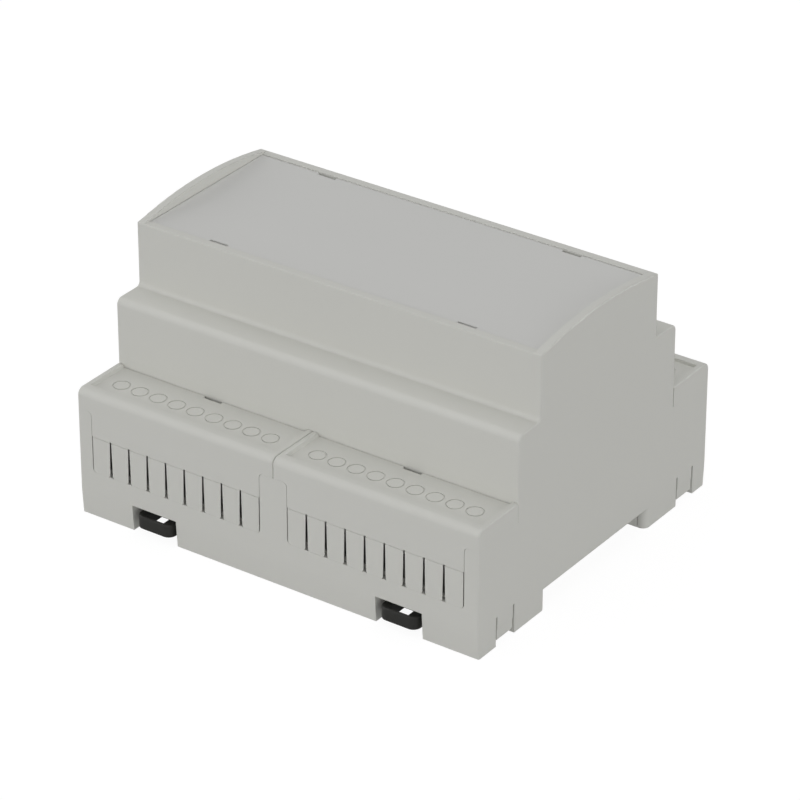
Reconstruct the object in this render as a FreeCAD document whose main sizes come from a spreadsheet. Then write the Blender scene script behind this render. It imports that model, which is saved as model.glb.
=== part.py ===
import FreeCAD, Part
import os
import re
import Sketcher
from FreeCAD import Vector

# A modular enclosure for electronics that clips onto 35 mm mounting rail.  X runs along the
# rail, the front row of terminal covers faces -Y, and Z rises from the rail side.  The origin
# is in the middle of the footprint, at the level that the two feet stand on.  Millimetres.

SIZES = {
    # Outside shape
    "length": 106.25,           # along the rail, six modules wide
    "width": 90.0,              # across the rail
    "height": 65.0,             # from the feet to the top of the arched ends
    "arch_rise": 2.3,           # the arched ends over the long edges of the nose
    "shoulder_drop": 17.8,      # from the top of the arch down to the shoulder
    "shoulder_depth": 8.0,      # from the nose wall out to the shoulder wall
    "terminal_depth": 14.5,     # from the shoulder wall out to the long side
    "terminal_top": 31.3,       # level of the terminal covers
    "seat_level": 26.4,         # level of the wall tops that the covers sit on
    "skirt_level": 28.0,        # level where the shoulder walls stop
    "toe_in": 0.4,              # how far the long sides draw in at the bottom
    "toe_height": 6.0,
    "edge_round": 1.6,          # shoulder edges
    "nose_round": 0.25,         # long edges of the nose
    "root_round": 1.0,          # inside corners at the foot of each step
    "end_round": 0.35,          # the rim of each end face
    # Walls
    "lower_wall": 2.4,
    "upper_wall": 2.0,
    "end_wall": 2.0,
    # Lid let into the nose
    "panel_thick": 2.0,
    "panel_sink": 0.2,
    "panel_gap": 0.12,
    "ledge_reach": 1.2,
    "ledge_thick": 1.4,
    "panel_leg_drop": 5.0,
    "panel_leg_width": 7.0,
    "panel_leg_thick": 1.2,
    "panel_notch_inset": 20.5,  # from the end of the box to the middle of a lever notch
    # Terminal covers
    "pitch": 5.08,              # spacing of the terminals
    "tongue_margin": 3.4,       # least wall left beside each tongue
    "tongue_bottom": 11.5,
    "tongue_corner": 1.0,
    "cover_wall": 1.4,
    "cover_top": 1.6,
    "cover_round": 1.7,
    "cover_gap": 0.1,           # round each cover
    "notch_lip": 1.0,           # inner frame that each tongue lies against
    "slit": 0.42,               # width of a slit at its top
    "slit_taper": 0.18,         # how far each side of a slit leans out on its way down
    "slit_top": 20.5,
    "slit_flare": 0.3,          # how far each slit widens at its foot
    "slit_lip": 0.15,           # thickness left at a slit's edges, cut back from behind
    "flap_thick": 0.6,          # the flaps between the slits, thinned from behind
    "flap_ease": 0.17,          # how far the outer flaps stand back from the tongue's own edges
    "fold_depth": 0.07,         # the line that they fold out along
    "field_depth": 0.75,        # sunk field on top of each cover
    "field_front": 3.0,
    "field_side": 1.3,
    "field_slope": 0.4,
    "knock_out": 4.1,           # diameter over the scored ring
    "knock_out_line": 37.3,     # from the middle of the box
    "score": 0.26,
    "score_depth": 0.18,
    "lever_length": 4.8,        # notches for levering covers and lid out
    "lever_width": 0.8,
    "grip_leg": 2.0,            # width of the legs that hook the covers over the wall
    "grip_thick": 1.2,
    "grip_drop": 6.0,
    # Rail recess and fixed hooks
    "recess_front": 19.4,
    "recess_rear": 20.3,
    "recess_depth": 5.2,
    "recess_round": 1.6,        # upright edges of the recess in each end wall
    "rail_half": 17.5,          # half of the 35 mm rail
    "rail_edge": 1.0,           # thickness of the rail's flange
    "rail_slack": 0.25,
    "hook_bite": 2.0,           # how far the hooks reach under the flange
    "hook_width": 14.0,
    "hook_tip": 1.4,
    # Sliding rail clips
    "clip_inset": 20.4,         # from the end of the box to the middle of a clip
    "clip_mouth": 12.1,         # opening in the long side
    "mouth_height": 6.45,
    "clip_slack": 0.25,
    "clip_lift": 0.4,
    "clip_proud": 0.5,          # how far the loop stands out past the long side
    "clip_corner": 1.9,
    "loop_clear": 1.2,          # between the loop and each side of its mouth
    "loop_low": 1.8,            # underside of the loop
    "loop_thick": 3.1,
    "loop_bar": 1.3,            # front of the loop, at its foot
    "loop_edge": 0.5,           # front of the loop, along its top
    "loop_round": 0.4,
    "loop_side": 2.25,
    "loop_hole": 7.0,
    "clip_travel": 3.0,
    "keel_depth": 0.8,
    "guide_reach": 1.3,
    "guide_slack": 0.15,
    "stop_bump": 0.7,
    "stop_length": 2.0,
    "clip_slot": 3.0,
    # Base
    "fit": 0.15,                # base inside the housing
    "floor_thick": 2.0,
    "rim_thick": 1.6,
    "rim_height": 10.0,
    "stop_rib": 1.5,
    "stop_rib_reach": 1.7,
    "stop_rib_top": 22.0,
    "stop_rib_line": 5.0,       # from the long side to a stop rib
    # Board posts
    "post_radius": 3.0,
    "post_top": 12.0,
    "post_inset": 7.6,
    "post_line": 9.0,
    "pilot_radius": 1.1,
    "pilot_depth": 8.0,
    # Latch fingers that hold the base
    "finger_front": 34.85,
    "finger_rear": 36.35,
    "finger_width": 5.8,
    "finger_slit": 0.55,
    "finger_height": 7.2,
    "finger_raise": 1.4,
    "finger_relief": 0.15,
    "finger_relief_top": 4.0,
    "barb_low": 1.7,
    "barb_high": 3.3,
    "barb_reach": 1.0,
    "window_slack": 0.3,
    # Overrun of a cut past the face that it opens
    "overrun": 1.0,
}

doc = FreeCAD.newDocument("RailEnclosure")
sheet = doc.addObject("Spreadsheet::Sheet", "Sizes")
for row, (alias, size) in enumerate(SIZES.items(), start=1):
    sheet.set(f"A{row}", alias.replace("_", " "))
    sheet.set(f"B{row}", str(size))
    sheet.setAlias(f"B{row}", alias)
doc.recompute()


def bound(text):
    """The expression that reads each named size in text from the sheet."""
    def lookup(word):
        return f"Sizes.{word[0]}" if word[0] in SIZES else word[0]

    return re.sub(r"[a-z_]+", lookup, text)


def value(text):
    """The number that an expression has now."""
    return float(sheet.evalExpression(bound(text)))


def signed(sign, text):
    """The text itself on the positive side, and its negative on the other."""
    return f"({text})" if sign > 0 else f"-({text})"


def span(middle, width):
    """The two ends of a width about a middle."""
    return f"({middle}) - ({width}) / 2", f"({middle}) + ({width}) / 2"


# Places that several pieces share
HALF_LENGTH = "length / 2"
HALF_WIDTH = "width / 2"
SHOULDER = "(width / 2 - terminal_depth)"
NOSE = "(width / 2 - terminal_depth - shoulder_depth)"
SHOULDER_TOP = "(height - shoulder_drop)"
NOSE_TOP = "(height - arch_rise)"
INNER_LENGTH = "(length / 2 - end_wall)"
INNER_WIDTH = "(width / 2 - lower_wall)"
INNER_NOSE = "(width / 2 - terminal_depth - shoulder_depth - upper_wall)"
PANEL_SEAT = "(height - arch_rise - panel_sink - panel_thick)"
FLAPS = "floor((length / 2 - 2 * tongue_margin) / pitch)"
TONGUE = f"({FLAPS} * pitch)"
NOTCH_BACK = "(width / 2 - cover_wall - cover_gap)"
CLIP_MIDDLE = "(length / 2 - clip_inset)"
CLIP_WIDTH = "(clip_mouth - 2 * clip_slack)"
CLIP_FRONT = "(width / 2 + clip_proud)"
CLIP_TOP = "(loop_low + loop_thick)"
LOOP_WIDTH = "(clip_mouth - 2 * loop_clear)"
LOOP_BACK = "(width / 2 + clip_proud - loop_bar - loop_hole)"
HOOK_TOP = "(recess_depth - rail_edge - rail_slack)"
HOOK_TIP = "(rail_half - hook_bite)"
BASE_LENGTH = "(length / 2 - end_wall - fit)"
BASE_WIDTH = "(width / 2 - lower_wall - fit)"
STOP_MIDDLE = "(width / 2 + clip_proud - loop_bar - loop_hole - 3 * stop_length)"
POST_X = "(length / 2 - post_inset)"
POST_Y = "(width / 2 - post_line)"
BOTH = (-1, 1)


def rectangle(across, up):
    """Corners of a rectangle from its two spans."""
    return [(across[0], up[0]), (across[1], up[0]), (across[1], up[1]), (across[0], up[1])]


class Piece:
    """One moulded piece: a PartDesign body that pads add to and pockets cut away."""

    def __init__(self, label):
        self.body = doc.addObject("PartDesign::Body", label.title().replace("_", ""))
        self.body.Label = label

    def sketch(self, plane, level):
        """A sketch on one of the body's own planes, moved to a level along X, Y or Z."""
        role = f"{plane}_Plane"
        support = next(item for item in self.body.Origin.OriginFeatures if item.Role == role)
        drawing = self.body.newObject("Sketcher::SketchObject", "Outline")
        drawing.AttachmentSupport = [(support, "")]
        drawing.MapMode = "FlatFace"
        # The normal of the XZ plane points along -Y
        offset = f"-({level})" if plane == "XZ" else level
        drawing.setExpression("AttachmentOffset.Base.z", bound(offset))
        return drawing

    def fix(self, drawing, kind, *where, text):
        """A dimension in a sketch, bound to the sheet."""
        row = drawing.addConstraint(Sketcher.Constraint(kind, *where, value(text)))
        drawing.setExpression(f"Constraints[{row}]", bound(text))

    def polygon(self, drawing, corners):
        """A closed outline.  A corner with a third entry, a radius, starts an arch over to the next."""
        first = drawing.GeometryCount
        count = len(corners)
        points = [Vector(value(corner[0]), value(corner[1]), 0) for corner in corners]
        ends = []
        for index, corner in enumerate(corners):
            start, finish = points[index], points[(index + 1) % count]
            if len(corner) == 3:
                radius = value(corner[2])
                half = (finish - start).Length / 2
                middle = (start + finish) / 2 + Vector(0, radius - (radius ** 2 - half ** 2) ** 0.5, 0)
                drawing.addGeometry(Part.Arc(start, middle, finish), False)
                # A sketch runs its arcs anticlockwise, so this one starts at the far corner
                ends.append((2, 1))
            else:
                drawing.addGeometry(Part.LineSegment(start, finish), False)
                ends.append((1, 2))
        for index in range(count):
            other = (index + 1) % count
            drawing.addConstraint(Sketcher.Constraint(
                "Coincident", first + index, ends[index][1], first + other, ends[other][0]))
        for index, corner in enumerate(corners):
            self.fix(drawing, "DistanceX", -1, 1, first + index, ends[index][0], text=corner[0])
            self.fix(drawing, "DistanceY", -1, 1, first + index, ends[index][0], text=corner[1])
            if len(corner) == 3:
                self.fix(drawing, "Radius", first + index, text=corner[2])

    def circle(self, drawing, centre, radius):
        """A circle about a centre."""
        index = drawing.GeometryCount
        middle = Vector(value(centre[0]), value(centre[1]), 0)
        drawing.addGeometry(Part.Circle(middle, Vector(0, 0, 1), value(radius)), False)
        self.fix(drawing, "DistanceX", -1, 1, index, 3, text=centre[0])
        self.fix(drawing, "DistanceY", -1, 1, index, 3, text=centre[1])
        self.fix(drawing, "Radius", index, text=radius)

    def feature(self, kind, name, drawing, low, high):
        """A pad or pocket of a drawing that lies halfway between two levels."""
        item = self.body.newObject(f"PartDesign::{kind}", name)
        item.Profile = drawing
        item.SideType = "Symmetric"
        item.setExpression("Length", bound(f"({high}) - ({low})"))
        drawing.Visibility = False
        return item

    def shape(self, kind, name, plane, low, high, corners):
        """A pad or pocket of a polygon between two levels along its plane's normal."""
        drawing = self.sketch(plane, f"(({low}) + ({high})) / 2")
        self.polygon(drawing, corners)
        return self.feature(kind, name, drawing, low, high)

    def block(self, kind, name, x, y, z):
        """A pad or pocket of a box, from its three spans."""
        return self.shape(kind, name, "XY", z[0], z[1], rectangle(x, y))

    def rounds(self, kind, name, centre, radii, low, high):
        """A pad or pocket of upright circles about one centre: a disc, or a ring of two."""
        drawing = self.sketch("XY", f"(({low}) + ({high})) / 2")
        for radius in radii:
            self.circle(drawing, centre, radius)
        return self.feature(kind, name, drawing, low, high)

    def repeat(self, name, original, count, length):
        """A row of one feature along X."""
        item = self.body.newObject("PartDesign::LinearPattern", name)
        item.Originals = [original]
        item.Direction = (original.Profile[0], ["H_Axis"])
        item.setExpression("Length", bound(length))
        item.setExpression("Occurrences", bound(count))
        self.body.Tip = item
        return item

    def fillet(self, name, radius, chosen):
        """Round the edges of the tip that chosen picks."""
        doc.recompute()
        base = self.body.Tip
        names = [f"Edge{number}" for number, edge in enumerate(base.Shape.Edges, start=1) if chosen(edge)]
        item = self.body.newObject("PartDesign::Fillet", name)
        item.Base = (base, names)
        item.setExpression("Radius", bound(radius))
        return item


def line_at(axis, spots):
    """Picks the straight edges along one axis that pass through one of the spots."""
    numbers = [[value(part) for part in spot] for spot in spots]

    def chosen(edge):
        box = edge.BoundBox
        lows = [box.XMin, box.YMin, box.ZMin]
        highs = [box.XMax, box.YMax, box.ZMax]
        others = [index for index in range(3) if index != axis]
        if any(highs[index] - lows[index] > 1e-6 for index in others):
            return False
        place = [lows[index] for index in others]
        return any(max(abs(a - b) for a, b in zip(place, spot)) < 1e-3 for spot in numbers)

    return chosen


def end_rim(*ends, sharp):
    """Picks the edges round the given end faces, without the flat ones at the sharp levels."""
    numbers = [value(end) for end in ends]
    levels = [value(level) for level in sharp]

    def chosen(edge):
        box = edge.BoundBox
        on_end = any(abs(box.XMin - end) + abs(box.XMax - end) < 1e-3 for end in numbers)
        return on_end and not any(abs(box.ZMin - z) + abs(box.ZMax - z) < 1e-3 for z in levels)

    return chosen


def at_level(level):
    """Picks the edges that lie flat at one level."""
    height = value(level)

    def chosen(edge):
        box = edge.BoundBox
        return abs(box.ZMin - height) + abs(box.ZMax - height) < 1e-3

    return chosen


def make_housing():
    """The stepped shell: both ends, the long lower sides, the shoulders and the nose."""
    piece = Piece("housing")
    arch_radius = f"({NOSE} * {NOSE} + arch_rise * arch_rise) / (2 * arch_rise)"
    left_half = [
        ("-(width / 2 - toe_in)", "0"),
        (f"-({HALF_WIDTH})", "toe_height"),
        (f"-({HALF_WIDTH})", "seat_level"),
        (f"-{SHOULDER}", "seat_level"),
        (f"-{SHOULDER}", SHOULDER_TOP),
        (f"-{NOSE}", SHOULDER_TOP),
        (f"-{NOSE}", NOSE_TOP, arch_radius),
    ]
    right_half = [(f"-({corner[0]})", corner[1]) for corner in reversed(left_half)]
    piece.shape("Pad", "Block", "YZ", f"-({HALF_LENGTH})", HALF_LENGTH, left_half + right_half)
    for name, radius, y, z in (("ShoulderRounds", "edge_round", SHOULDER, SHOULDER_TOP),
                               ("NoseRounds", "nose_round", NOSE, NOSE_TOP),
                               ("RootRounds", "root_round", NOSE, SHOULDER_TOP)):
        piece.fillet(name, radius, line_at(0, [(signed(sign, y), z) for sign in BOTH]))
    piece.fillet("EndRounds", "end_round",
                 end_rim(HALF_LENGTH, f"-({HALF_LENGTH})", sharp=("0", "seat_level")))

    # Hollow it between the ends, down to the ledge that carries the lid
    inside = [
        (INNER_WIDTH, "-overrun"),
        (INNER_WIDTH, "skirt_level"),
        (f"({SHOULDER} - upper_wall)", "skirt_level"),
        (f"({SHOULDER} - upper_wall)", f"({SHOULDER_TOP} - upper_wall)"),
        (INNER_NOSE, f"({SHOULDER_TOP} - upper_wall)"),
        (INNER_NOSE, f"({PANEL_SEAT} - ledge_thick - ledge_reach)"),
        (f"({INNER_NOSE} - ledge_reach)", f"({PANEL_SEAT} - ledge_thick)"),
        (f"({INNER_NOSE} - ledge_reach)", PANEL_SEAT),
        (INNER_NOSE, PANEL_SEAT),
        (INNER_NOSE, "height + overrun"),
    ]
    hollow = inside + [(f"-({y})", z) for y, z in reversed(inside)]
    ends = (f"-{INNER_LENGTH}", INNER_LENGTH)
    piece.shape("Pocket", "Hollow", "YZ", *ends, hollow)
    # The long edges of the nose are flat, under the arch of the ends
    piece.block("Pocket", "NoseLip", ends, (f"-({HALF_WIDTH})", HALF_WIDTH), (NOSE_TOP, "height + overrun"))

    # Notches in the long sides for the tongues of the covers, with an inner frame
    for side in BOTH:
        outer = (signed(side, "width / 2 + overrun"), signed(side, NOTCH_BACK))
        through = (signed(side, "width / 2 + overrun"), signed(side, f"{INNER_WIDTH} - overrun"))
        for half in BOTH:
            middle = signed(half, "length / 4")
            wide = span(middle, f"{TONGUE} + 2 * cover_gap")
            narrow = span(middle, f"{TONGUE} - 2 * notch_lip")
            piece.shape("Pocket", "Notch", "XZ", *sorted(outer, key=value),
                        rectangle(wide, ("tongue_bottom", "seat_level + overrun")))
            piece.shape("Pocket", "NotchFrame", "XZ", *sorted(through, key=value),
                        rectangle(narrow, ("tongue_bottom + notch_lip", "seat_level + overrun")))
    notch_sides = [f"{end}" for half in BOTH
                   for end in span(signed(half, "length / 4"), f"{TONGUE} + 2 * cover_gap")]
    piece.fillet("NotchRounds", "tongue_corner",
                 line_at(1, [(x, z) for x in notch_sides for z in ("tongue_bottom", "seat_level")]))

    # Mouths for the rail clips, and the recess that the rail lies in
    for half in BOTH:
        piece.block("Pocket", "ClipMouth", span(signed(half, CLIP_MIDDLE), "clip_mouth"),
                    (f"-({HALF_WIDTH} + overrun)", f"-({INNER_WIDTH} - overrun)"),
                    ("-overrun", "mouth_height"))
    piece.block("Pocket", "RailRecess", (f"-({HALF_LENGTH} + overrun)", f"{HALF_LENGTH} + overrun"),
                ("-recess_front", "recess_rear"), ("-overrun", "recess_depth"))
    recess_corners = [(signed(end, HALF_LENGTH), y) for end in BOTH for y in ("-recess_front", "recess_rear")]
    piece.fillet("RecessRounds", "recess_round", line_at(2, recess_corners))

    # Latch fingers in both ends, each between two slits, with a barb for the base
    for end in BOTH:
        outer_end = signed(end, "length / 2 + overrun")
        wall = sorted((outer_end, signed(end, f"{INNER_LENGTH} - overrun")), key=value)
        relief = sorted((outer_end, signed(end, "length / 2 - finger_relief")), key=value)
        barb = sorted((signed(end, f"{INNER_LENGTH} + end_wall / 2"),
                       signed(end, f"{INNER_LENGTH} - barb_reach")), key=value)
        for middle in ("-finger_front", "finger_rear"):
            finger = span(middle, "finger_width")
            for edge in BOTH:
                slit = span(f"{middle} + {signed(edge, '(finger_width + finger_slit) / 2')}", "finger_slit")
                piece.block("Pocket", "FingerSlit", wall, slit, ("-overrun", "finger_height"))
            piece.block("Pocket", "FingerFoot", wall, finger, ("-overrun", "finger_raise"))
            piece.block("Pocket", "FingerRelief", relief, finger, ("0", "finger_relief_top"))
            piece.block("Pad", "FingerBarb", barb, finger, ("barb_low", "barb_high"))

    # Ribs on the inside of the ends that stop the base
    for end in BOTH:
        reach = sorted((signed(end, f"{INNER_LENGTH} + end_wall / 2"),
                        signed(end, f"{INNER_LENGTH} - stop_rib_reach")), key=value)
        for side in BOTH:
            piece.block("Pad", "StopRib", reach, span(signed(side, "width / 2 - stop_rib_line"), "stop_rib"),
                        ("rim_height", "stop_rib_top"))
    return piece


def make_base():
    """The floor that closes the housing from below: two feet, the rail recess, posts and hooks."""
    piece = Piece("base")
    along = (f"-{BASE_LENGTH}", BASE_LENGTH)
    rim_x = (f"-({BASE_LENGTH} - rim_thick)", f"{BASE_LENGTH} - rim_thick")
    rim_y = (f"-({BASE_WIDTH} - rim_thick)", f"{BASE_WIDTH} - rim_thick")
    piece.block("Pad", "Rim", along, (f"-{BASE_WIDTH}", BASE_WIDTH), ("0", "rim_height"))
    piece.block("Pocket", "Inside", rim_x, rim_y, ("floor_thick", "rim_height + overrun"))
    # The floor steps up over the rail and the clips
    piece.block("Pad", "RailDeck", along, ("-(recess_front + floor_thick)", "recess_rear + floor_thick"),
                ("0", "recess_depth + floor_thick"))
    for half in BOTH:
        middle = signed(half, CLIP_MIDDLE)
        piece.block("Pad", "ClipDeck", span(middle, "clip_mouth + 2 * floor_thick + 2 * stop_bump"),
                    (f"-{BASE_WIDTH}", "-recess_front"), ("0", "recess_depth + floor_thick"))
    piece.block("Pocket", "RailRecess", (f"-({HALF_LENGTH})", HALF_LENGTH),
                ("-recess_front", "recess_rear"), ("-overrun", "recess_depth"))

    for half in BOTH:
        middle = signed(half, CLIP_MIDDLE)
        piece.block("Pocket", "ClipChannel", span(middle, "clip_mouth"),
                    (f"-({HALF_WIDTH})", "-recess_front + overrun"), ("-overrun", "recess_depth"))
        piece.block("Pocket", "RimMouth", span(middle, "clip_mouth"),
                    (f"-({HALF_WIDTH})", f"-({BASE_WIDTH} - rim_thick)"), ("0", "mouth_height + fit"))
        for edge in BOTH:
            # A groove that the stop bump of the clip runs in, and the ledge that carries the clip
            side = sorted((f"{middle} + {signed(edge, 'clip_mouth / 2 + stop_bump')}", middle), key=value)
            piece.block("Pocket", "StopGroove", side,
                        (f"-{STOP_MIDDLE} - stop_length / 2 - guide_slack - clip_travel",
                         f"-{STOP_MIDDLE} + stop_length / 2 + guide_slack"),
                        ("clip_lift + keel_depth - guide_slack", "recess_depth"))
            ledge = sorted((f"{middle} + {signed(edge, 'clip_mouth / 2 + floor_thick / 2')}",
                            f"{middle} + {signed(edge, 'clip_mouth / 2 - guide_reach')}"), key=value)
            piece.block("Pad", "ClipLedge", ledge,
                        (f"-({LOOP_BACK} - 2 * guide_slack)", "-recess_front"),
                        ("0", "clip_lift + keel_depth - guide_slack"))
        # Fixed hook for the far flange of the rail, with a slope that leads the flange in
        piece.shape("Pad", "RailHook", "YZ", *span(middle, "hook_width"), [
            ("recess_rear + floor_thick / 2", "0"),
            ("recess_rear", "0"),
            (HOOK_TIP, f"{HOOK_TOP} - hook_tip"),
            (HOOK_TIP, HOOK_TOP),
            ("recess_rear + floor_thick / 2", HOOK_TOP),
        ])

    # Windows that the barbs of the housing spring into
    for end in BOTH:
        wall = sorted((signed(end, "length / 2"), signed(end, f"{BASE_LENGTH} - rim_thick")), key=value)
        for middle in ("-finger_front", "finger_rear"):
            piece.block("Pocket", "BarbWindow", wall, span(middle, "finger_width + 2 * window_slack"),
                        ("barb_low - window_slack", "barb_high + window_slack"))

    # Posts for the circuit board, each with a pilot hole for a screw
    for end in BOTH:
        for side in BOTH:
            centre = (signed(end, POST_X), signed(side, POST_Y))
            piece.rounds("Pad", "Post", centre, ["post_radius"], "floor_thick / 2", "post_top")
            piece.rounds("Pocket", "Pilot", centre, ["pilot_radius"],
                         "post_top - pilot_depth", "post_top + overrun")
    return piece


def make_panel():
    """The flat lid of the nose, with legs that grip inside the ledges."""
    piece = Piece("top_panel")
    edge_x = f"({INNER_LENGTH} - panel_gap)"
    edge_y = f"({INNER_NOSE} - panel_gap)"
    top = f"({PANEL_SEAT} + panel_thick)"
    piece.block("Pad", "Plate", (f"-{edge_x}", edge_x), (f"-{edge_y}", edge_y), (PANEL_SEAT, top))
    for half in BOTH:
        middle = signed(half, "length / 2 - panel_notch_inset")
        for side in BOTH:
            notch = sorted((signed(side, f"{edge_y} + overrun"),
                            signed(side, f"{edge_y} - lever_width")), key=value)
            piece.block("Pocket", "LeverNotch", span(middle, "lever_length"), notch,
                        (f"{PANEL_SEAT} + floor_thick / 2", f"{top} + overrun"))
            leg_face = f"{INNER_NOSE} - ledge_reach - panel_gap"
            leg = sorted((signed(side, leg_face), signed(side, f"{leg_face} - panel_leg_thick")), key=value)
            piece.block("Pad", "Leg", span(middle, "panel_leg_width"), leg,
                        (f"{PANEL_SEAT} - panel_leg_drop", f"{PANEL_SEAT} + panel_thick / 2"))
    return piece


def make_cover(label, half, side):
    """One snap-on terminal cover.  half is its sign along X and side its sign along Y."""
    piece = Piece(label)
    inner_end, outer_end = "cover_gap / 2", "length / 2"
    across = sorted((signed(half, inner_end), signed(half, outer_end)), key=value)
    back = f"({SHOULDER} + cover_gap)"
    middle = signed(half, "length / 4")

    def at(text):
        return signed(side, text)

    # The band: top, rounded front edge and the front down to the wall it sits on
    piece.shape("Pad", "Band", "YZ", *across, [
        (at("width / 2"), "seat_level"),
        (at("width / 2"), "terminal_top"),
        (at(back), "terminal_top"),
        (at(back), "terminal_top - cover_top"),
        (at("width / 2 - cover_wall"), "terminal_top - cover_top"),
        (at("width / 2 - cover_wall"), "seat_level"),
    ])
    # The cheek that closes the outer end
    cheek = sorted((signed(half, outer_end), signed(half, "length / 2 - cover_wall")), key=value)
    piece.block("Pad", "Cheek", cheek, sorted((at("width / 2"), at(back)), key=value),
                ("seat_level", "terminal_top"))
    piece.fillet("FrontRound", "cover_round", line_at(0, [(at("width / 2"), "terminal_top")]))
    end_faces = [signed(half, end) for end in (inner_end, outer_end)]
    rim = end_rim(*end_faces, sharp=("seat_level",))
    rear = line_at(2, [(end, at(back)) for end in end_faces])
    piece.fillet("EndRounds", "end_round", lambda edge: rim(edge) and not rear(edge))

    # The tongue that hangs in the notch of the wall
    thick = sorted((at("width / 2"), at("width / 2 - cover_wall")), key=value)
    tongue = span(middle, TONGUE)
    piece.shape("Pad", "Tongue", "XZ", *thick,
                rectangle(tongue, ("tongue_bottom", "(seat_level + terminal_top) / 2 - cover_wall / 2")))
    piece.fillet("TongueCorners", "tongue_corner",
                 line_at(1, [(x, z) for x in tongue for z in ("tongue_bottom", "seat_level")]))

    # Sunk field on top, open to the rear, with sloping ends
    floor_line = "terminal_top - field_depth"
    field_end = (f"({inner_end} + field_side)", "(length / 2 - field_side)")
    ends = sorted((signed(half, field_end[0]), signed(half, field_end[1])), key=value)
    floor_ends = (f"({ends[0]}) + field_slope", f"({ends[1]}) - field_slope")
    run_out = sorted((at(f"{back} - overrun"), at("width / 2 - field_front")), key=value)
    piece.shape("Pocket", "Field", "XZ", *run_out, [
        (floor_ends[0], floor_line), (floor_ends[1], floor_line),
        (ends[1], "terminal_top"), (ends[1], "terminal_top + overrun"),
        (ends[0], "terminal_top + overrun"), (ends[0], "terminal_top"),
    ])
    notch = sorted((at(f"{back} - overrun"), at(f"{back} + lever_width")), key=value)
    piece.block("Pocket", "LeverNotch", span(middle, "lever_length"), notch,
                ("terminal_top - cover_top - overrun", "terminal_top"))

    # The skirt of the tongue is thin, and slits part it into flaps that fold out along a scored line
    behind = sorted((at("width / 2 - flap_thick"), at("width / 2 - cover_wall - overrun")), key=value)
    piece.shape("Pocket", "FlapRelief", "XZ", *behind,
                rectangle((f"({tongue[0]}) - overrun", f"({tongue[1]}) + overrun"),
                          ("tongue_bottom - overrun", "slit_top")))
    first_slit = f"{middle} - {TONGUE} / 2 + pitch"
    outside = sorted((at("width / 2 + overrun"), at("width / 2 - cover_wall - overrun")), key=value)
    neck = "tongue_bottom + slit_flare"
    slit_sides = span(first_slit, "slit")
    neck_sides = span(first_slit, "slit + 2 * slit_taper")
    foot_sides = span(first_slit, "slit + 2 * slit_taper + 2 * slit_flare")
    slit = piece.shape("Pocket", "Slit", "XZ", *outside, [
        (foot_sides[0], "tongue_bottom - overrun"), (foot_sides[1], "tongue_bottom - overrun"),
        (foot_sides[1], "tongue_bottom"), (neck_sides[1], neck), (slit_sides[1], "slit_top"),
        (slit_sides[0], "slit_top"), (neck_sides[0], neck), (foot_sides[0], "tongue_bottom"),
    ])
    piece.repeat("Slits", slit, f"{FLAPS} - 1", f"({FLAPS} - 2) * pitch")
    # The outer flaps stand back a little from the tongue's own edges
    for eased in ((f"({tongue[0]}) - overrun", f"({tongue[0]}) + flap_ease"),
                  (f"({tongue[1]}) - flap_ease", f"({tongue[1]}) + overrun")):
        piece.block("Pocket", "FlapEase", eased, outside, ("tongue_bottom - overrun", "slit_top"))
    # Behind, every flap is cut away at 45 degrees along both sides, so that it breaks off easily
    lip_line, spread = at("width / 2 - slit_lip"), "2 * (flap_thick - slit_lip + overrun)"
    first_bevel = f"{middle} - {TONGUE} / 2"
    lip_sides = span(first_bevel, "slit + 2 * slit_taper")
    wide_sides = span(first_bevel, f"slit + 2 * slit_taper + {spread}")
    bevel = piece.shape("Pocket", "SlitBevel", "XY", "tongue_bottom - overrun", "slit_top", [
        (lip_sides[0], lip_line), (lip_sides[1], lip_line),
        (wide_sides[1], at("width / 2 - flap_thick - overrun")),
        (wide_sides[0], at("width / 2 - flap_thick - overrun")),
    ])
    piece.repeat("SlitBevels", bevel, f"{FLAPS} + 1", f"{FLAPS} * pitch")
    groove = sorted((at("width / 2 + overrun"), at("width / 2 - fold_depth")), key=value)
    piece.shape("Pocket", "FoldLine", "XZ", *groove,
                rectangle((f"({tongue[0]}) - overrun / 2", f"({tongue[1]}) + overrun / 2"),
                          ("slit_top - score", "slit_top")))
    # A scored ring over each terminal screw
    ring = piece.rounds("Pocket", "Ring", (f"{middle} - ({FLAPS} - 1) / 2 * pitch", at("knock_out_line")),
                        ["knock_out / 2", "knock_out / 2 - score"],
                        f"{floor_line} - score_depth", "terminal_top + overrun")
    piece.repeat("Rings", ring, FLAPS, f"({FLAPS} - 1) * pitch")

    # Legs that hook over the inside of the wall beside the tongue
    grip_face = f"{INNER_WIDTH} - cover_gap"
    grip = sorted((at(grip_face), at(f"{grip_face} - grip_thick")), key=value)
    last = f"{INNER_LENGTH} - cover_gap - field_side"
    for leg in ((signed(half, "field_side"), signed(half, "field_side + grip_leg")),
                (signed(half, last), signed(half, f"{last} - grip_leg"))):
        piece.block("Pad", "GripLeg", sorted(leg, key=value), grip,
                    ("seat_level - grip_drop", "terminal_top - cover_top / 2 - field_depth"))
    return piece


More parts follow.
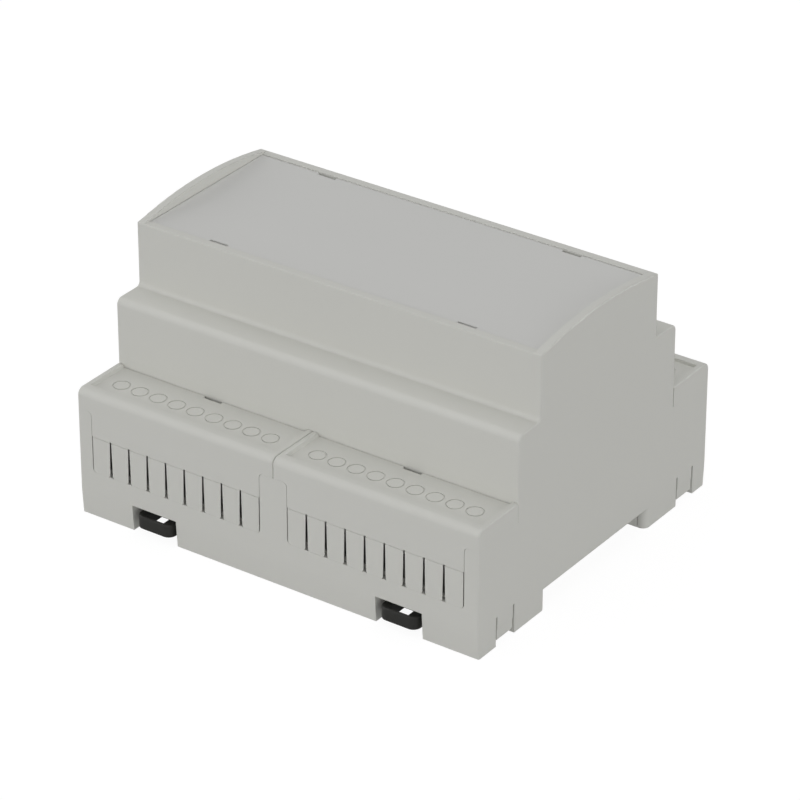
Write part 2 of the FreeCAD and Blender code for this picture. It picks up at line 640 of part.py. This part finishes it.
def make_clip(label, half):
    """The sliding catch that holds the near flange of the rail, pulled by its loop."""
    piece = Piece(label)
    middle = signed(half, CLIP_MIDDLE)
    wide = span(middle, CLIP_WIDTH)
    keel_top = "clip_lift + keel_depth"
    keel = span(middle, "clip_mouth - 2 * guide_reach - 2 * guide_slack")
    loop = span(middle, LOOP_WIDTH)
    piece.block("Pad", "Loop", loop, (f"-{CLIP_FRONT}", f"-{LOOP_BACK}"), ("loop_low", CLIP_TOP))
    corners = [(x, f"-{CLIP_FRONT}") for x in loop]
    piece.fillet("LoopCorners", "clip_corner", line_at(2, corners))
    back = line_at(0, [(f"-{LOOP_BACK}", CLIP_TOP)])
    upper = at_level(CLIP_TOP)
    piece.fillet("LoopRounds", "loop_round", lambda edge: upper(edge) and not back(edge))
    piece.block("Pad", "Slide", wide, (f"-{LOOP_BACK}", "-recess_front"), (keel_top, CLIP_TOP))
    piece.block("Pad", "Keel", keel, (f"-{LOOP_BACK}", "-recess_front"), ("clip_lift", keel_top))
    # The nose that goes under the flange, sloped so that it rides over the rail
    piece.shape("Pad", "Catch", "YZ", *keel, [
        ("-recess_front - loop_bar", "clip_lift"),
        ("-recess_front", "clip_lift"),
        (f"-{HOOK_TIP}", f"{HOOK_TOP} - hook_tip"),
        (f"-{HOOK_TIP}", HOOK_TOP),
        ("-recess_front - loop_bar", HOOK_TOP),
    ])
    # The hole, whose front wall leans out so that a screwdriver finds it
    hole = span(middle, f"{LOOP_WIDTH} - 2 * loop_side")
    bar_foot, bar_top = f"-{CLIP_FRONT} + loop_bar", f"-{CLIP_FRONT} + loop_edge"
    piece.shape("Pocket", "LoopHole", "YZ", *hole, [
        (bar_foot, "loop_low - overrun"),
        (bar_foot, "loop_low"),
        (bar_top, CLIP_TOP),
        (bar_top, f"{CLIP_TOP} + overrun"),
        (f"-{LOOP_BACK}", f"{CLIP_TOP} + overrun"),
        (f"-{LOOP_BACK}", "loop_low - overrun"),
    ])
    piece.fillet("HoleCorners", "clip_corner / 2", line_at(2, [(x, f"-{LOOP_BACK}") for x in hole]))
    # Two springy legs behind a slot, each with a bump that stops the travel
    piece.block("Pocket", "LegSlot", span(middle, "clip_slot"),
                (f"-({STOP_MIDDLE} + 2 * stop_length)", f"-({STOP_MIDDLE} - 2 * stop_length)"),
                ("clip_lift - overrun", f"{CLIP_TOP} + overrun"))
    for edge in BOTH:
        bump = sorted((f"{middle} + {signed(edge, f'{CLIP_WIDTH} / 2 - loop_bar / 2')}",
                       f"{middle} + {signed(edge, f'{CLIP_WIDTH} / 2 + stop_bump')}"), key=value)
        piece.block("Pad", "StopBump", bump, span(f"-{STOP_MIDDLE}", "stop_length"),
                    (f"{keel_top} + guide_slack", CLIP_TOP))
    return piece


pieces = [make_base(), make_housing(), make_panel()]
for side, row in ((-1, "front"), (1, "rear")):
    for half, place in ((-1, "left"), (1, "right")):
        pieces.append(make_cover(f"terminal_cover_{row}_{place}", half, side))
for half, place in ((-1, "left"), (1, "right")):
    pieces.append(make_clip(f"rail_clip_{place}", half))
doc.recompute()

# Nothing is written unless every object of the document is sound
for item in doc.Objects:
    if {"Invalid", "Error"} & set(item.State):
        raise RuntimeError(f"{item.Label} of {item.Name} failed: {item.State}")
for piece in pieces:
    shape = piece.body.Shape
    if shape.isNull() or not shape.isValid() or len(shape.Solids) != 1:
        raise RuntimeError(f"{piece.body.Label} is not one sound solid")

os.makedirs("parts", exist_ok=True)
for piece in pieces:
    piece.body.Shape.exportStep(f"parts/{piece.body.Label}.step")
    box = piece.body.Shape.BoundBox
    print(f"{piece.body.Label}: {piece.body.Shape.Volume:.0f} mm3, "
          f"{box.XLength:.2f} x {box.YLength:.2f} x {box.ZLength:.2f} mm")
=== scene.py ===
# %% [markdown]
# # A modular rail enclosure, from moulded plastic
#
# The enclosure is an empty box that clips onto mounting rail in an electrical cabinet.  Nine
# mouldings make it up: a stepped housing, a base, a flat lid, four terminal covers and two
# black rail clips.  Their shapes come with the frame, already at their real size, so this
# lesson is about finish and light: how to make three plastics that look moulded, and how to
# light a pale object softly without losing its edges.

# %% Load the frame
import math

import bpy
from mathutils import Matrix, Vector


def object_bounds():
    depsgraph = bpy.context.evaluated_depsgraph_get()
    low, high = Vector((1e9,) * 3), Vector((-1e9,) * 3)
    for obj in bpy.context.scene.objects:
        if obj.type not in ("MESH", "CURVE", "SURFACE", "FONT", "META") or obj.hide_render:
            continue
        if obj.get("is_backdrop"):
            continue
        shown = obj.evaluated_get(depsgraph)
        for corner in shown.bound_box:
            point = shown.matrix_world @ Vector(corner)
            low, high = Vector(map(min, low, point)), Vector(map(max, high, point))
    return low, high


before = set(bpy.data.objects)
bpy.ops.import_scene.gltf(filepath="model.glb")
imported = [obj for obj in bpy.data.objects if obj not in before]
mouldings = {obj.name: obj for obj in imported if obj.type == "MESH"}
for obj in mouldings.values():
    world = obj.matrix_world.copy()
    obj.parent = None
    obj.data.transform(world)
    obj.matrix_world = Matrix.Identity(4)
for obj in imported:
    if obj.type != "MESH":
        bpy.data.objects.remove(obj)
cad_low, cad_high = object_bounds()
MM = 0.001
size = [round((top - bottom) / MM, 2) for bottom, top in zip(cad_low, cad_high)]
print(len(mouldings), "mouldings,", " x ".join(str(side) for side in size), "mm:")
print(", ".join(sorted(mouldings)))

# %% [markdown]
# ## Shader maths as plain expressions
#
# A shader is a graph of nodes.  Wiring it by hand hides the arithmetic, so one class below
# wraps an output socket and lets Python's own operators add the Math nodes: `1 - mask` adds a
# Subtract node.  Every other kind of node comes from the graph's one method, which sets the
# node up first and then fills its sockets, or links them where it is given a wrapped value.

# %% A wrapped socket
class Value:
    """One output socket of a graph, whose operators add Math nodes."""

    def __init__(self, graph, socket):
        self.graph = graph
        self.socket = socket

    def math(self, operation, first, second, clamp=False):
        """A Math node of two values."""
        settings = {"operation": operation, "use_clamp": clamp}
        return self.graph.add("ShaderNodeMath", settings, {0: first, 1: second})["Value"]

    def __add__(self, other):
        return self.math("ADD", self, other)

    def __radd__(self, other):
        return self.math("ADD", other, self)

    def __sub__(self, other):
        return self.math("SUBTRACT", self, other)

    def __rsub__(self, other):
        return self.math("SUBTRACT", other, self)

    def __mul__(self, other):
        return self.math("MULTIPLY", self, other)

    def __rmul__(self, other):
        return self.math("MULTIPLY", other, self)

    def __truediv__(self, other):
        return self.math("DIVIDE", self, other)

    def __rtruediv__(self, other):
        return self.math("DIVIDE", other, self)

    def clamped(self):
        """The value held between 0 and 1."""
        return self.math("ADD", self, 0.0, clamp=True)


print("operators:", *(name for name in vars(Value) if name.startswith("__") and name != "__init__"))

# %% A graph of nodes
class Outputs:
    """The outputs of one node, wrapped by name or place."""

    def __init__(self, graph, node):
        self.graph = graph
        self.node = node

    def __getitem__(self, name):
        return Value(self.graph, self.node.outputs[name])


class Graph:
    """A node tree whose nodes all come from one method."""

    def __init__(self, tree):
        self.tree = tree

    def add(self, kind, settings, sockets):
        """A node of this kind, with its settings made first and then its sockets."""
        node = self.tree.nodes.new(kind)
        for name, setting in settings.items():
            setattr(node, name, setting)
        for name, content in sockets.items():
            self.feed(node.inputs[name], content)
        return Outputs(self, node)

    def feed(self, socket, content):
        """Link a wrapped value to a socket, or set a plain one on it."""
        if isinstance(content, Value):
            self.tree.links.new(content.socket, socket)
        else:
            socket.default_value = content


def new_material(name):
    """A material, with its graph and its main shader."""
    material = bpy.data.materials.new(name)
    material.use_nodes = True
    return material, Graph(material.node_tree), material.node_tree.nodes["Principled BSDF"]


trial, trial_graph, _ = new_material("trial")
print("a new material starts with:", ", ".join(node.name for node in trial_graph.tree.nodes))
bpy.data.materials.remove(trial)

# %% [markdown]
# ## What moulded plastic looks like
#
# The steel tools for these parts were spark-eroded to a fine matt grain, about a quarter of a
# millimetre across.  It is far too fine to model, so it is a bump.  Three slower things show
# too.  The colour drifts by about a percent where the melt flowed, a thick wall sinks a few
# hundredths of a millimetre between its ribs as it cools, and arrises that hands and other
# boxes rub are a little smoother than the faces.
#
# The grain and the flow are noise.  For the arrises, the Bevel node gives the normal that a
# slightly rounder edge would have, and wherever it leaves the true normal there is an edge.
# The same rounder normal goes into the bump, so that no edge is razor sharp.

# %% Noise, edges and grain
FLOW_SIZE = 40 * MM
FLOW_DETAIL = 3.0
SINK_SIZE = 14 * MM
SINK_DETAIL = 0.0
SINK_DEPTH = 0.02 * MM
GRAIN_DETAIL = 2.0
BEVEL_SAMPLES = 4
EDGE_GAIN = 6.0


def noise(graph, feature_size, detail):
    """Smooth noise whose features are about this large, fixed to the moulding."""
    place = graph.add("ShaderNodeTexCoord", {}, {})["Object"]
    return graph.add("ShaderNodeTexNoise", {"noise_dimensions": "3D"},
                     {"Vector": place, "Scale": 1 / feature_size, "Detail": detail})["Fac"]


def rounded_normal(graph, radius):
    """The normal that edges of this radius would have, and a mask of where those edges are."""
    rounded = graph.add("ShaderNodeBevel", {"samples": BEVEL_SAMPLES}, {"Radius": radius})["Normal"]
    true_normal = graph.add("ShaderNodeNewGeometry", {}, {})["Normal"]
    agreement = graph.add("ShaderNodeVectorMath", {"operation": "DOT_PRODUCT"},
                          {0: rounded, 1: true_normal})["Value"]
    return rounded, ((1 - agreement) * EDGE_GAIN).clamped()


def bumped(graph, height, depth, normal):
    """A normal that follows a height map of this depth."""
    return graph.add("ShaderNodeBump", {}, {"Strength": 1.0, "Distance": depth,
                                            "Height": height, "Normal": normal})["Normal"]


print(f"flow marks {FLOW_SIZE / MM:.0f} mm, sinks {SINK_SIZE / MM:.0f} mm across")

# %% A moulded plastic
ROUGHNESS_DRIFT = 0.06
NOISE_MIDDLE = 0.5
MIXED_COLOUR = 2  # the place of the colour among a Mix node's outputs


def moulded_plastic(name, colour, roughness, specular, drift, grain, grain_depth, arris, rub):
    """A plastic with an eroded grain, flow marks, faint sinks and slightly rubbed edges."""
    material, graph, shader = new_material(name)
    flow = noise(graph, FLOW_SIZE, FLOW_DETAIL)
    rounded, edge = rounded_normal(graph, arris)

    deep = [channel * (1 - drift) for channel in colour]
    pale = [channel * (1 + drift) for channel in colour]
    tone = graph.add("ShaderNodeMix", {"data_type": "RGBA"},
                     {"Factor": flow, "A": (*deep, 1.0), "B": (*pale, 1.0)})
    graph.feed(shader.inputs["Base Color"], tone[MIXED_COLOUR])

    worn = roughness + (flow - NOISE_MIDDLE) * ROUGHNESS_DRIFT - edge * rub
    graph.feed(shader.inputs["Roughness"], worn)
    sunk = bumped(graph, noise(graph, SINK_SIZE, SINK_DETAIL), SINK_DEPTH, rounded)
    grained = bumped(graph, noise(graph, grain, GRAIN_DETAIL), grain_depth, sunk)
    graph.feed(shader.inputs["Normal"], grained)
    shader.inputs["Specular IOR Level"].default_value = specular
    print(f"{name}: {len(graph.tree.nodes)} nodes, grain {grain / MM:.2f} mm")
    return material


# %% [markdown]
# ## Three plastics
#
# The body is a warm light grey.  The lid is a touch cooler and smoother, because it was moulded
# flat in a tool of its own and takes a printed label.  The clips are black, glass-filled and
# satin, since they have to slide and spring.

# %% The plastics
body_grey = moulded_plastic("body_grey", (0.70, 0.70, 0.662), roughness=0.60, specular=0.15,
                            drift=0.012, grain=0.25 * MM, grain_depth=0.012 * MM,
                            arris=0.12 * MM, rub=0.05)
lid_grey = moulded_plastic("lid_grey", (0.70, 0.70, 0.682), roughness=0.55, specular=0.2,
                           drift=0.008, grain=0.20 * MM, grain_depth=0.008 * MM,
                           arris=0.12 * MM, rub=0.05)
clip_black = moulded_plastic("clip_black", (0.024, 0.024, 0.021), roughness=0.45, specular=0.4,
                             drift=0.05, grain=0.30 * MM, grain_depth=0.012 * MM,
                             arris=0.3 * MM, rub=0.12)

# %% Give each moulding its plastic
def plastic_for(name):
    """The plastic of one moulding, from its name."""
    if name.startswith("rail_clip"):
        return clip_black
    return lid_grey if name == "top_panel" else body_grey


for name, moulding in mouldings.items():
    moulding.data.materials.clear()
    moulding.data.materials.append(plastic_for(name))
    print(f"{name}: {moulding.data.materials[0].name}")

# %% [markdown]
# ## A floor of white paper
#
# The box stands on a sweep of white paper.  In a studio such paper has lamps of its own: it is
# nearly white in the picture and yet throws much less light up at the box.  One material can
# play both roles.  Each role is a glow and a matt white added together, so that the paper both
# shines and takes a soft shadow.  The Light Path node tells rays that come straight from the
# camera from rays that have already met the box, and a Mix Shader gives each its own paper.  The
# sheet is wide enough to keep its far edge out of the usual views.

# %% A sheet of paper
FLOOR_HALF = 20.0


def floor_sheet(half):
    """A plain flat sheet under the feet."""
    mesh = bpy.data.meshes.new("floor")
    corners = [(-half, -half, 0), (half, -half, 0), (half, half, 0), (-half, half, 0)]
    mesh.from_pydata(corners, [], [(0, 1, 2, 3)])
    sheet = bpy.data.objects.new("floor", mesh)
    bpy.context.scene.collection.objects.link(sheet)
    sheet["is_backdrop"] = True
    return sheet


def lit_paper(graph, glow, whiteness):
    """Paper that glows a little by itself and scatters some of the light that reaches it."""
    shine = graph.add("ShaderNodeEmission", {}, {"Strength": glow})["Emission"]
    grey = (whiteness, whiteness, whiteness, 1)
    matt = graph.add("ShaderNodeBsdfDiffuse", {}, {"Color": grey})["BSDF"]
    return graph.add("ShaderNodeAddShader", {}, {0: shine, 1: matt})["Shader"]


floor = floor_sheet(FLOOR_HALF)
print(f"floor {2 * FLOOR_HALF:.0f} m square")

# %% Two roles for the paper
paper, paper_graph, paper_shader = new_material("paper")
paper_graph.tree.nodes.remove(paper_shader)
from_camera = paper_graph.add("ShaderNodeLightPath", {}, {})["Is Camera Ray"]
under_the_box = lit_paper(paper_graph, glow=0.185, whiteness=0.35)
in_the_picture = lit_paper(paper_graph, glow=0.94, whiteness=0.11)
both = paper_graph.add("ShaderNodeMixShader", {},
                       {"Fac": from_camera, 1: under_the_box, 2: in_the_picture})["Shader"]
paper_graph.feed(paper_graph.tree.nodes["Material Output"].inputs["Surface"], both)
floor.data.materials.append(paper)
print(paper.name, "has", len(paper_graph.tree.nodes), "nodes")

# %% [markdown]
# ## Light
#
# A pale box shows its form through small differences of grey.  A single lamp would put a bright
# line along every rounded edge, so the light comes from all round instead: four tall windows
# and a large lamp straight overhead.  The windows are drawn on the world, brightest at the
# horizon, fading upwards, and strongest straight ahead of their wall.  Light that low rakes along
# the lid, where the arched ends shade it, while the steps stay open.  The left and right
# windows are the strongest, and the one behind is dim, since nothing in view faces it.

# %% Windows
WINDOW_TOP = 0.8
WINDOWS = {"left": (-1, "X", 2.62), "right": (1, "X", 1.97),
           "front": (-1, "Y", 1.54), "back": (1, "Y", 0.55)}

world = bpy.data.worlds.new("studio")
bpy.context.scene.world = world
world.use_nodes = True
sky = Graph(world.node_tree)
heading = sky.add("ShaderNodeTexCoord", {}, {})["Generated"]
parts = sky.add("ShaderNodeSeparateXYZ", {}, {"Vector": heading})
level = parts["X"] * parts["X"] + parts["Y"] * parts["Y"]
fade = (1 - parts["Z"] / WINDOW_TOP).clamped()
light = 0.0
for name, (side, axis, brightness) in WINDOWS.items():
    towards = (side * parts[axis]).clamped()
    light = light + brightness * fade * (towards * towards / level)
surround = world.node_tree.nodes["Background"]
surround.inputs["Color"].default_value = (1, 1, 1, 1)
sky.feed(surround.inputs["Strength"], light)
print("windows:", ", ".join(f"{name} {brightness}" for name, (_, _, brightness) in WINDOWS.items()))

# %% Overhead lamp
LAMP_HEIGHT = 1.2
LAMP_SIDE = 1.0
LAMP_POWER = 5.17

lamp_data = bpy.data.lights.new("overhead", "AREA")
lamp_data.size = LAMP_SIDE
lamp_data.energy = LAMP_POWER
lamp = bpy.data.objects.new("overhead", lamp_data)
bpy.context.scene.collection.objects.link(lamp)
lamp.location = (0, 0, LAMP_HEIGHT)
print(f"overhead lamp: {LAMP_POWER} W, {LAMP_SIDE} m square")

# %% [markdown]
# ## Camera
#
# A long lens from above the front right corner, about a metre away, keeps the parallel edges of
# the box nearly parallel.  The camera is turned first and then moved along its own axes: back by
# its distance, and aside and up by the little that frames the box.  The Standard view transform
# shows the greys as they are, where a filmic one would bend them.

# %% Camera
AZIMUTH = math.radians(35.244)
ELEVATION = math.radians(29.201)
DISTANCE = 0.96243
ASIDE = 0.001128
RAISED = 0.02178
LENS = 194.1  # millimetres, as a lens is marked
SENSOR = 36.0

camera_data = bpy.data.cameras.new("camera")
camera_data.lens = LENS
camera_data.sensor_width = SENSOR
camera = bpy.data.objects.new("camera", camera_data)
bpy.context.scene.collection.objects.link(camera)
bpy.context.scene.camera = camera
turned = Matrix.Rotation(AZIMUTH, 4, "Z") @ Matrix.Rotation(math.pi / 2 - ELEVATION, 4, "X")
camera.matrix_world = turned @ Matrix.Translation((ASIDE, RAISED, DISTANCE))
bpy.context.scene.view_settings.view_transform = "Standard"
print(f"camera {DISTANCE:.2f} m away with a {LENS:.0f} mm lens")

# %% [markdown]
# ## Sizes
#
# The visual model has to stay the size of the frame it was built around, so both boxes are
# written down and can be compared.

# %% Sizes
visual_low, visual_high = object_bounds()
visual_size = [round((top - bottom) / MM, 2) for bottom, top in zip(visual_low, visual_high)]
print("visual size", visual_size, "mm, against", size, "mm in the frame")
